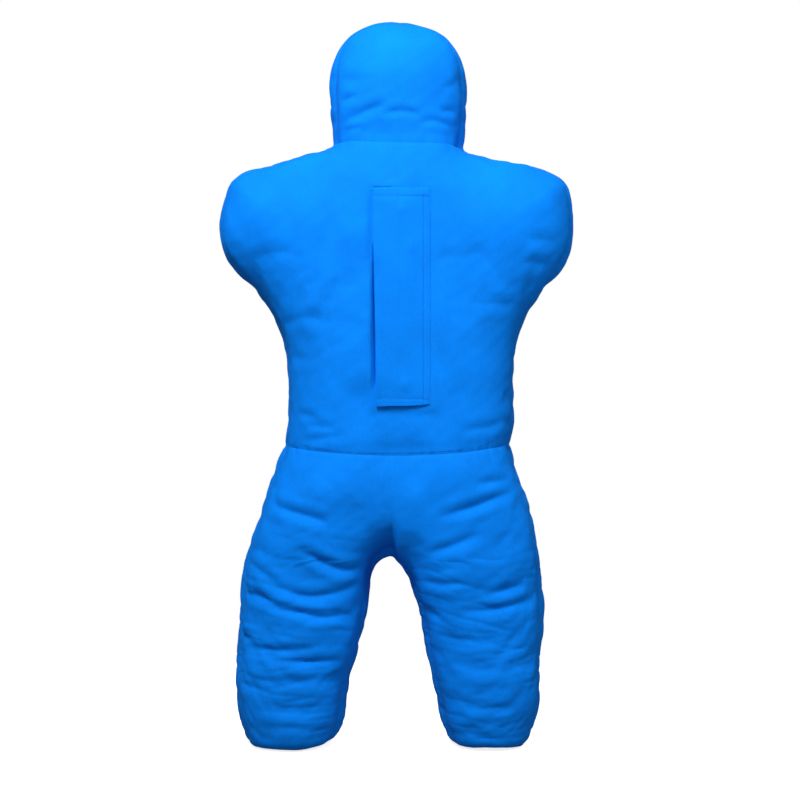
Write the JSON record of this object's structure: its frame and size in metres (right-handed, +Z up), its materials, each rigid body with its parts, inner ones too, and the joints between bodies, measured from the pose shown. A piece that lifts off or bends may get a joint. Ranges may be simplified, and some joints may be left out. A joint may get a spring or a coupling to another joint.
{
  "type": "grappling dummy",
  "caption": "Armless stuffed canvas dummy with head, torso, short legs and a zip under a sewn flap, for throwing and grappling practice.",
  "frame": {"origin": "bottom centre of the dummy's box, on the floor between the leg ends", "axes": "+Z up along the body, +Y towards the chest, so the back with the zip flap faces -Y, +X towards the dummy's right"},
  "size_m": [0.59, 0.2154, 1.2],
  "materials": {
    "canvas": "plain-woven cotton and polyester canvas, matt",
    "thread": "twisted polyester sewing thread",
    "filling": "packed textile clippings",
    "zip_tape": "woven polyester tape",
    "zip_teeth": "moulded acetal",
    "zip_metal": "nickel-plated zinc, satin"
  },
  "bodies": {
    "torso": {"torso_filling": "filling", "torso_back_panel": "canvas", "torso_front_panel": "canvas", "torso_gusset_left": "canvas", "torso_gusset_right": "canvas", "neck_roll": "filling", "waist_roll": "filling", "flap_margin_strip": "canvas", "zip_tape_left": "zip_tape", "zip_tape_right": "zip_tape", "zip_teeth_left": "zip_teeth", "zip_teeth_right": "zip_teeth", "zip_top_stop_left": "zip_metal", "zip_top_stop_right": "zip_metal", "zip_bottom_stop": "zip_metal", "zip_guard": "canvas"},
    "head": {"head_filling": "filling", "head_back_panel": "canvas", "head_front_panel": "canvas", "head_gusset_left": "canvas", "head_gusset_right": "canvas"},
    "pelvis": {"seat_filling": "filling", "seat_back_panel": "canvas", "seat_front_panel": "canvas", "seat_gusset_left": "canvas", "seat_gusset_right": "canvas", "hip_roll_left": "filling", "hip_roll_right": "filling"},
    "left_leg": {"left_leg_filling": "filling", "left_leg_back_panel": "canvas", "left_leg_front_panel": "canvas", "left_leg_outer_gusset": "canvas", "left_leg_inner_gusset": "canvas", "left_leg_sole": "canvas"},
    "right_leg": {"right_leg_filling": "filling", "right_leg_back_panel": "canvas", "right_leg_front_panel": "canvas", "right_leg_outer_gusset": "canvas", "right_leg_inner_gusset": "canvas", "right_leg_sole": "canvas"},
    "flap": {"flap_outer_ply": "canvas", "flap_inner_ply": "canvas"},
    "zip_slider": {"slider_body": "zip_metal", "pull_rivet": "zip_metal"},
    "zip_pull": {"pull_tab": "zip_metal"}
  },
  "joints": [
    {"name": "neck_nod", "type": "hinge", "parent": "torso", "child": "head", "pos_m": [0, 0, 1.015], "axis": [-1, 0, 0], "range_deg": [-15, 30]},
    {"name": "waist_bend", "type": "hinge", "parent": "torso", "child": "pelvis", "pos_m": [0, 0, 0.535], "axis": [1, 0, 0], "range_deg": [-8, 20]},
    {"name": "left_hip_swing", "type": "hinge", "parent": "pelvis", "child": "left_leg", "pos_m": [-0.12, 0, 0.33], "axis": [1, 0, 0], "range_deg": [-15, 45]},
    {"name": "right_hip_swing", "type": "hinge", "parent": "pelvis", "child": "right_leg", "pos_m": [0.12, 0, 0.33], "axis": [1, 0, 0], "range_deg": [-15, 45]},
    {"name": "flap_open", "type": "hinge", "parent": "torso", "child": "flap", "pos_m": [0.041, -0.1116, 0.734], "axis": [0, 0, 1], "range_deg": [0, 160]},
    {"name": "zip_slide", "type": "slide", "parent": "torso", "child": "zip_slider", "axis": [0, 0, -1], "range_m": [0, 0.285]},
    {"name": "pull_sway", "type": "hinge", "parent": "zip_slider", "child": "zip_pull", "pos_m": [0, -0.106, 0.88028], "axis": [0, 1, 0], "range_deg": [-18, 18]}
  ]
}
